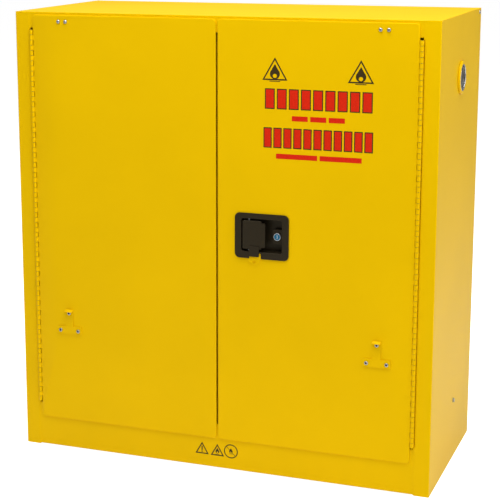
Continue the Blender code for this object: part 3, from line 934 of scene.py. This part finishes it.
class CABINET_OT_hooks(bpy.types.Operator):
    """Bend the two hooks on the doors and rivet them on"""

    bl_idname = "cabinet.hooks"
    bl_label = "Hooks"

    def hook(self, word):
        low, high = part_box(f"hook_{word}")
        middle = (low.x + high.x) / 2
        back = high.y
        sheet = HOOK_SHEET
        bend = 0.0035
        half = 0.0100
        base = block(
            f"hook_{word}_plate", (low.x, back - sheet, low.z), (high.x, back, low.z + 0.020)
        )
        round_along(base, Y, 0.003, 5)
        level = low.z + 0.012
        stem = panel(
            "stem",
            (middle, back - sheet / 2, (level + high.z - bend - sheet / 2) / 2),
            (2 * half, high.z - bend - sheet / 2 - level),
            (math.pi / 2, 0, 0),
        )
        with editing(stem, "EDGE") as shape:
            top = max(vert.co.z for vert in stem.data.vertices)
            pick_edges(stem, shape, lambda mid, way: mid.z > top - NEAR)
            bpy.ops.mesh.spin(
                steps=6,
                angle=math.pi / 2,
                center=(middle, back - sheet / 2 - bend, top),
                axis=(1, 0, 0),
            )
            bpy.ops.mesh.extrude_region_move(
                TRANSFORM_OT_translate={"value": (0, low.y - (back - sheet / 2 - bend), 0)}
            )
        with editing(stem):
            bpy.ops.mesh.select_all(action="SELECT")
            bpy.ops.mesh.remove_doubles(threshold=0.00001)
            face_out()
        modify(stem, "SOLIDIFY", thickness=sheet, offset=0)
        round_edges(stem, lambda mid, way: abs(way.z) > 0.99 and mid.y < low.y + NEAR, 0.003, 4)
        add(base, stem)
        soften(base, 0.0003, 2, 50)
        return finish(base, f"{word}_door", FINISHES["paint"], [f"hook_{word}"])

    def execute(self, context):
        for word in ("left", "right"):
            self.hook(word)
            for number in (1, 2, 3):
                node = f"hook_rivet_{word}_{number}"
                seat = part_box(f"hook_{word}")[1].y - HOOK_SHEET
                place = centre_of(node)
                centre = (place.x, seat - 0.0002, place.z)
                rivet = head(
                    node + "_head", centre, Y, -1, 0.0048, 0.0024, 0.0018, 0.0022, 0.006, 0.0024
                )
                finish(rivet, f"{word}_door", FINISHES["bolt"], [node])
                # a near-black stem in each rivet's hollow is painted shade
                stem = rod(
                    node + "_stem", centre, 0.0023, centre[1] - 0.0021, centre[1] - 0.0008, Y, 24
                )
                soften(stem, 0.0003, 2)
                finish(stem, f"{word}_door", FINISHES["hole"])
        return {"FINISHED"}


class CABINET_OT_fixings(bpy.types.Operator):
    """Turn the bolt heads on the doors and the screws on the right side"""

    bl_idname = "cabinet.fixings"
    bl_label = "Bolts and screws"

    def ground_screw(self):
        low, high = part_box("ground_screw")
        centre = Vector((SIDE_FACE, *centre_of("ground_screw").yz))
        washer = rod(
            "ground_screw_head", centre, 0.0062, SIDE_FACE + 0.0001, SIDE_FACE + 0.0011, X, 48
        )
        soften(washer, 0.0002, 2)
        nut = rod("hex", centre, 0.0046, SIDE_FACE + 0.0012, high.x, X, 6)
        soften(nut, 0.0003, 3)
        shank = rod("shank", centre, 0.0022, low.x, SIDE_FACE + 0.0014, X, 24)
        join(washer, nut, shank)
        finish(washer, "case", FINISHES["bolt"], ["ground_screw"])

    def rear_screw(self):
        low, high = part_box("rear_screw")
        centre = Vector((SIDE_FACE, *centre_of("rear_screw").yz))
        screw = head("rear_screw_head", centre, X, 1, 0.0048, 0.0027, 0.0016, 0.0022, 0.006)
        for tall, wide in ((0.0022, 0.0005), (0.0005, 0.0022)):
            slot = block(
                "slot",
                (high.x - 0.0013, centre.y - wide, centre.z - tall),
                (high.x + 0.001, centre.y + wide, centre.z + tall),
            )
            cut(screw, slot)
        finish(screw, "case", FINISHES["bolt"], ["rear_screw"])

    def execute(self, context):
        for word in ("left", "right"):
            for number in (1, 2):
                node = f"door_bolt_{word}_{number}"
                place = centre_of(node)
                centre = (place.x, DOOR_FACE - 0.0002, place.z)
                bolt = head(node + "_head", centre, Y, -1, 0.0046, 0.0032, 0.0029, 0.0026, 0.0022)
                finish(bolt, f"{word}_door", FINISHES["bolt"], [node])
        self.ground_screw()
        self.rear_screw()
        return {"FINISHED"}


class CABINET_OT_handle(bpy.types.Operator):
    """Press the latch plate and the paddle, and fit the pin, key cylinder and padlock tab"""

    bl_idname = "cabinet.handle"
    bl_label = "Paddle latch"

    def housing(self):
        face = STILE_FACE
        front = PLATE_LOW.y
        plate_back = DOOR_FACE - 0.0003
        plate = block(
            "handle_plate",
            (PLATE_LOW.x, front, PLATE_LOW.z),
            (PLATE_HIGH.x, plate_back, PLATE_HIGH.z),
        )
        round_along(plate, Y, 0.012, 10)
        left, right, low, high = POCKET_LEFT, POCKET_RIGHT, POCKET_BOTTOM, POCKET_TOP
        deep = face + 0.020
        wall = 0.0015
        cup = block(
            "cup",
            (left - wall, front + 0.001, low - wall),
            (right + wall, deep + wall, high + wall),
        )
        round_along(cup, Y, 0.007, 6)
        add(plate, cup)
        pocket = block("pocket", (left, front - PAST, low), (right, deep, high))
        round_along(pocket, Y, 0.0055, 6)
        cut(plate, pocket)

        def at_mouth(mid, way):
            within = left - NEAR < mid.x < right + NEAR and low - NEAR < mid.z < high + NEAR
            return within and abs(mid.y - front) < NEAR

        round_edges(plate, at_mouth, 0.0010)
        boss = block(
            "boss",
            (LOCK.x - 0.0115, face + 0.0085, LOCK.z - 0.0175),
            (right + 0.0008, deep + 0.0005, LOCK.z + 0.0175),
        )
        round_edges(boss, lambda mid, way: abs(way.y) > 0.999 and mid.x < LOCK.x, 0.005, 6)
        add(plate, boss)
        stud = rod("stud", (STUD_X, 0, PIVOT[Z]), 0.003, deep + 0.0005, face + 0.0340, Y, 24)
        add(plate, stud)
        cut(plate, rod("keyway", LOCK, 0.0095, face - PAST, face + 0.0082, Y, 48))
        cut(plate, rod("barrel_hole", LOCK, 0.0084, face, face + 0.04, Y, 48))
        slot = block(
            "tongue_slot",
            (PIVOT[X] - 0.0125, deep - 0.005, PIVOT[Z] - 0.0090),
            (PIVOT[X] + 0.0095, face + 0.0228, PIVOT[Z] + 0.0090),
        )
        cut(plate, slot)
        notch = block(
            "notch", (NOTCH_LEFT, face - 0.02, PLATE_LOW.z - 0.02), (NOTCH_RIGHT, face, NOTCH_TOP)
        )
        round_along(notch, Y, 0.004, 4)
        cut(plate, notch)
        cut(plate, rod("pin_hole", PIVOT, PIN_BORE, PIN_LOW.z - 0.008, PIN_HIGH.z + 0.008, Z, 24))
        soften(plate, 0.0005, 3, 50)
        finish(plate, "right_door", FINISHES["handle"], ["handle_housing"])

    def paddle(self):
        face = STILE_FACE
        left, right, low, high = PADDLE_LEFT, PADDLE_RIGHT, PADDLE_BOTTOM, PADDLE_TOP
        grip = right - 0.0095
        front = PLATE_LOW.y - 0.0008
        back = PLATE_LOW.y + 0.0022
        plate = block("paddle_plate", (left, front, low), (grip, back, high))
        round_along(plate, Y, 0.003, 5)
        round_edges(
            plate,
            lambda mid, way: mid.z > high - NEAR and mid.y < front + NEAR and abs(way.x) > 0.9,
            0.0014,
            4,
        )
        wing = block("grip", (grip - 0.006, front, low + 0.005), (right, back, high - 0.005))
        round_edges(wing, lambda mid, way: abs(way.y) > 0.999 and mid.x > grip, 0.003, 5)
        add(plate, wing)
        for level in (low + 0.0002, high - 0.0027):
            lip = block(
                "lip",
                (left + 0.003, back - 0.0004, level),
                (grip - 0.003, back + 0.004, level + 0.0025),
            )
            add(plate, lip)
        axis = PIVOT
        add(plate, rod("barrel", axis, 0.0045, low + 0.004, high - 0.004, Z, 32))
        web = block(
            "web",
            (axis[0] - 0.003, back - 0.0006, low + 0.004),
            (axis[0] + 0.003, axis[1], high - 0.004),
        )
        add(plate, web)
        tongue = block(
            "tongue",
            (axis[0] - 0.0105, back - 0.0006, axis[2] - 0.0065),
            (axis[0] - 0.0060, face + 0.0225, axis[2] + 0.0065),
        )
        add(plate, tongue)
        brace = block(
            "brace",
            (axis[0] - 0.0080, back - 0.0007, axis[2] - 0.0060),
            (axis[0] - 0.002, axis[1], axis[2] + 0.0060),
        )
        add(plate, brace)
        lug = block(
            "lug",
            (LUG_LEFT, PLATE_LOW.y - 0.0028, LUG_BOTTOM),
            (LUG_RIGHT, PLATE_LOW.y - 0.0004, low + 0.0080),
        )
        round_edges(lug, lambda mid, way: abs(way.y) > 0.999, 0.002, 4)
        add(plate, lug)
        cut(plate, rod("bore", axis, PIN_BORE, low - PAST, high + PAST, Z, 24))
        soften(plate, 0.0005, 3, 50)
        finish(plate, "paddle", FINISHES["handle"], ["paddle"])
        pin = rod("paddle_pin_rod", axis, 0.0019, PIN_LOW.z, PIN_HIGH.z, Z, 32)
        soften(pin, 0.0004, 3)
        finish(pin, "right_door", FINISHES["bolt"], ["paddle_pin"])

    def key_cylinder(self):
        face = STILE_FACE
        ring = rod("key_cylinder_ring", LOCK, 0.0090, face + 0.0050, face + 0.0080, Y, 64)
        round_edges(ring, lambda mid, way: abs(mid.y - face - 0.0050) < NEAR, 0.0009, 4)
        cut(ring, rod("recess", LOCK, 0.0077, face, face + 0.0058, Y, 64))
        barrel = rod("barrel", LOCK, 0.0080, face + 0.0075, LOCK_BACK, Y, 48)
        add(ring, barrel)
        finish(ring, "key_cylinder", FINISHES["lock"], ["lock_cylinder"])
        plug = rod("key_cylinder_face", LOCK, 0.0075, face + 0.0054, face + 0.0059, Y, 64)
        keyway = block(
            "keyway",
            (LOCK.x - 0.0009, face, LOCK.z - 0.0042),
            (LOCK.x + 0.0009, face + 0.02, LOCK.z + 0.0042),
        )
        cut(plug, keyway)
        soften(plug, 0.00015, 2)
        finish(plug, "key_cylinder", FINISHES["lock_face"])
        # a near-black block behind the keyway is painted shade in the key slot
        dark = block(
            "key_slot_painted_shade",
            (LOCK.x - 0.0010, face + 0.00592, LOCK.z - 0.0043),
            (LOCK.x + 0.0010, face + 0.0062, LOCK.z + 0.0043),
        )
        finish(dark, "key_cylinder", FINISHES["hole"])

    def tab(self):
        low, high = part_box("padlock_tab")
        centre = ((low.x + high.x) / 2, 0, low.z + TAB_RADIUS)
        tab = rod("padlock_tab_plate", centre, TAB_RADIUS, low.y, high.y, Y, 64)
        left, front, right, back = low.x - PAST, low.y - PAST, high.x + PAST, high.y + PAST
        cut(tab, block("top", (left, front, high.z), (right, back, high.z + 0.05)))
        tucked = NOTCH_LEFT + 0.0002
        cut(tab, block("tucked", (left, front, PLATE_LOW.z - 0.0002), (tucked, back, low.z + 0.05)))
        cut(tab, rod("hole", (centre[0], 0, TAB_HOLE_Z), TAB_HOLE_RADIUS, front, back, Y, 32))
        soften(tab, 0.0004, 3)
        finish(tab, "right_door", FINISHES["paint"], ["padlock_tab"])

    def execute(self, context):
        self.housing()
        self.paddle()
        self.key_cylinder()
        self.tab()
        for node in (
            "latch_cam", "rod_top", "rod_bottom", "centre_bolt", "rod_guide_top", "rod_guide_bottom"
        ):
            refined(node, FINISHES["zinc"], 0.00025)
        return {"FINISHED"}


def printed(name, left, right, low, high, plane, layers=1.0):
    """A printed bar on a face that looks towards -Y."""
    depth = layers * bpy.context.scene.cabinet_sizes.print_depth
    return block(name, (left, plane - depth, low), (right, plane + 0.0001, high))


def disc(name, x, z, radius, sides, plane):
    """A printed disc, or a printed triangle where it has three sides."""
    depth = bpy.context.scene.cabinet_sizes.print_depth
    return rod(name, (x, 0, z), radius, plane - depth, plane + 0.0001, Y, sides)


class CABINET_OT_prints(bpy.types.Operator):
    """Print the plain block sign on the right door and the small pictograms on the sill"""

    bl_idname = "cabinet.prints"
    bl_label = "Prints"

    def blocks(self, name, left, right, level, height, count, gap, rim=0.0025):
        """A row of plain blocks that stands for a line of the sign."""
        width = (right - left - gap * (count - 1)) / count
        low, high = level - height / 2, level + height / 2
        dark, red = [], []
        for number in range(count):
            start = left + number * (width + gap)
            end = start + width
            if rim:
                dark.append(printed("outline", start, end, low, high, DOOR_FACE))
            inner = (start + rim, end - rim, low + rim, high - rim)
            red.append(printed("fill", *inner, DOOR_FACE, 1.6))
        for parts, word, kind in ((red, "fill", "sign"), (dark, "outline", "outline")):
            if parts:
                row = join(*parts)
                row.name = f"{name}_{word}"
                round_along(row, Y, 0.0008, 3)
                finish(row, "right_door", FINISHES[kind])

    def outline_of(self, name, x, z, radius, line, sides, plane):
        shape = disc(name, x, z, radius, sides, plane)
        inside = radius - line * (2 if sides == 3 else 1)
        return cut(shape, rod("inside", (x, 0, z), inside, plane - PAST, plane + PAST, Y, sides))

    def flame(self, x, z, size, plane):
        """A plain drop over a bar."""
        drop = disc("flame", x, z, size * 0.42, 32, plane)
        add(drop, disc("tip", x, z + size * 0.36, size * 0.44, 3, plane))
        heart = (x, 0, z - size * 0.16)
        cut(drop, rod("heart", heart, size * 0.17, plane - PAST, plane + PAST, Y, 24))
        half = size * 0.45
        return join(
            drop, printed("bar", x - half, x + half, z - size * 0.62, z - size * 0.55, plane)
        )

    def execute(self, context):
        count = context.scene.cabinet_sizes.sign_blocks
        self.blocks("sign_row_1", 0.1200, 0.3775, 0.9295, 0.0480, count, 0.0050)
        self.blocks("sign_row_2", 0.1860, 0.3130, 0.8850, 0.0120, 3, 0.0060, 0)
        self.blocks("sign_row_3", 0.1170, 0.3800, 0.8380, 0.0480, count + 2, 0.0040)
        self.blocks("sign_row_4", 0.1480, 0.3540, 0.7950, 0.0120, 2, 0.0060, 0)
        for number, x in enumerate((0.144, 0.349)):
            sign = self.outline_of(
                f"flame_sign_{number + 1}", x, 0.9905, 0.0355, 0.0033, 3, DOOR_FACE
            )
            join(sign, self.flame(x, 0.9875, 0.0290, DOOR_FACE))
            finish(sign, "right_door", FINISHES["outline"])
        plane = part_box("sill")[0].y
        first = self.outline_of("sill_sign_1", -0.0415, 0.0432, 0.0205, 0.0029, 3, plane)
        bar = printed("bar", -0.0430, -0.0400, 0.0420, 0.0530, plane)
        join(first, bar, disc("dot", -0.0415, 0.0388, 0.0018, 16, plane))
        second = self.outline_of("sill_sign_2", -0.0009, 0.0427, 0.0205, 0.0029, 3, plane)
        join(second, self.flame(-0.0009, 0.0432, 0.0120, plane))
        third = self.outline_of("sill_sign_3", 0.0347, 0.0484, 0.0182, 0.0026, 48, plane)
        slash = printed("slash", -0.0168, 0.0168, -0.0006, 0.0006, plane)
        slash.rotation_euler = (0, math.radians(45), 0)
        slash.location = (0.0347, 0, 0.0484)
        activate(slash)
        bpy.ops.object.transform_apply(location=True, rotation=True, scale=True)
        join(third, slash, self.flame(0.0347, 0.0480, 0.0110, plane))
        for sign in (first, second, third):
            finish(sign, "case", FINISHES["outline"])
        return {"FINISHED"}


class CABINET_OT_stage(bpy.types.Operator):
    """Set the floor, the soft lights and the camera"""

    bl_idname = "cabinet.stage"
    bl_label = "Stage"

    def light(self, name, place, target, size, power):
        deselect()
        bpy.ops.object.light_add(type="AREA", location=place)
        lamp = bpy.context.object
        lamp.name = name
        lamp.data.shape = "RECTANGLE"
        lamp.data.size, lamp.data.size_y = size
        lamp.data.energy = power
        lamp.rotation_euler = (Vector(target) - Vector(place)).to_track_quat("-Z", "Y").to_euler()
        return lamp

    def execute(self, context):
        stage = context.scene.cabinet_stage
        deselect()
        bpy.ops.mesh.primitive_plane_add(size=40, location=(0, 0, -0.0004))
        floor = settled("floor")
        ground = Coat("Pale floor", (0.92, 0.92, 0.92), 0.6, gleam=0.1)
        ground.shader.inputs["Emission Strength"].default_value = 1.0
        pale = ground.between(ground.noise(3, 2), (0.83, 0.83, 0.83), (0.85, 0.85, 0.85))
        seen_straight = ground.node("ShaderNodeLightPath", output="Is Camera Ray")
        glow = ground.between(seen_straight, (0.06,) * 3, (stage.floor_glow,) * 3)
        floor.data.materials.append(ground.into(Base_Color=pale, Emission_Color=glow))
        world = bpy.data.worlds.new("Studio")
        world.use_nodes = True
        tree = world.node_tree
        seen = tree.nodes.new("ShaderNodeMapRange")
        seen.inputs["To Min"].default_value = stage.surround
        seen.inputs["To Max"].default_value = 1.05
        tree.links.new(
            tree.nodes.new("ShaderNodeLightPath").outputs["Is Camera Ray"], seen.inputs["Value"]
        )
        tree.nodes["Background"].inputs["Color"].default_value = (1, 1, 1, 1)
        tree.links.new(seen.outputs["Result"], tree.nodes["Background"].inputs["Strength"])
        context.scene.world = world
        self.light("top_softbox", (0.2, -0.8, 3.4), (0, 0, 0.6), (2.4, 2.0), stage.top_light)
        self.light("front_softbox", (1.9, -3.0, 3.1), (0, 0, 0.6), (1.0, 1.0), stage.front_light)
        self.light("fill_softbox", (-2.6, -3.0, 1.6), (0, 0, 0.6), (2.0, 2.0), stage.fill_light)
        self.light("side_softbox", (3.6, -0.4, 1.8), (0.5, 0, 0.6), (2.0, 2.4), stage.side_light)
        self.light("back_softbox", (-4.2, 1.6, 2.2), (0, 0.2, 0.6), (2.4, 2.4), stage.back_light)
        deselect()
        bpy.ops.object.camera_add(location=stage.place)
        camera = context.object
        camera.name = "camera"
        azimuth, elevation, roll = math.radians(21.11), math.radians(11.25), math.radians(-0.24)
        ahead = Vector(
            (
                -math.sin(azimuth) * math.cos(elevation),
                math.cos(azimuth) * math.cos(elevation),
                -math.sin(elevation),
            )
        )
        camera.rotation_mode = "QUATERNION"
        camera.rotation_quaternion = ahead.to_track_quat("-Z", "Y") @ Quaternion((0, 0, 1), roll)
        camera.data.lens = stage.lens
        camera.data.sensor_width = 36
        camera.data.shift_x = 0.1
        camera.data.shift_y = -0.1
        context.scene.camera = camera
        context.scene.view_settings.view_transform = "Standard"
        return {"FINISHED"}


class CABINET_PT_panel(bpy.types.Panel):
    """Lists the steps that build the cabinet."""

    bl_label = "Safety Cabinet"
    bl_idname = "CABINET_PT_panel"
    bl_space_type = "VIEW_3D"
    bl_region_type = "UI"
    bl_category = "Safety Cabinet"

    def draw(self, context):
        for group in (
            context.scene.cabinet_colours, context.scene.cabinet_sizes, context.scene.cabinet_stage
        ):
            box = self.layout.box()
            for name in group.__annotations__:
                box.prop(group, name)
        for operator in OPERATORS:
            self.layout.operator(operator.bl_idname)


OPERATORS = (
    CABINET_OT_finishes,
    CABINET_OT_casing,
    CABINET_OT_welds,
    CABINET_OT_hinges,
    CABINET_OT_vents,
    CABINET_OT_hooks,
    CABINET_OT_fixings,
    CABINET_OT_handle,
    CABINET_OT_prints,
    CABINET_OT_stage,
)
CLASSES = (CabinetColours, CabinetSizes, StageSettings, *OPERATORS, CABINET_PT_panel)


def register():
    for item in CLASSES:
        bpy.utils.register_class(item)
    bpy.types.Scene.cabinet_colours = PointerProperty(type=CabinetColours)
    bpy.types.Scene.cabinet_sizes = PointerProperty(type=CabinetSizes)
    bpy.types.Scene.cabinet_stage = PointerProperty(type=StageSettings)


def unregister():
    del bpy.types.Scene.cabinet_colours
    del bpy.types.Scene.cabinet_sizes
    del bpy.types.Scene.cabinet_stage
    for item in reversed(CLASSES):
        bpy.utils.unregister_class(item)


def main():
    register()
    for operator in OPERATORS:
        group, name = operator.bl_idname.split(".")
        getattr(getattr(bpy.ops, group), name)()


if __name__ == "__main__":
    main()
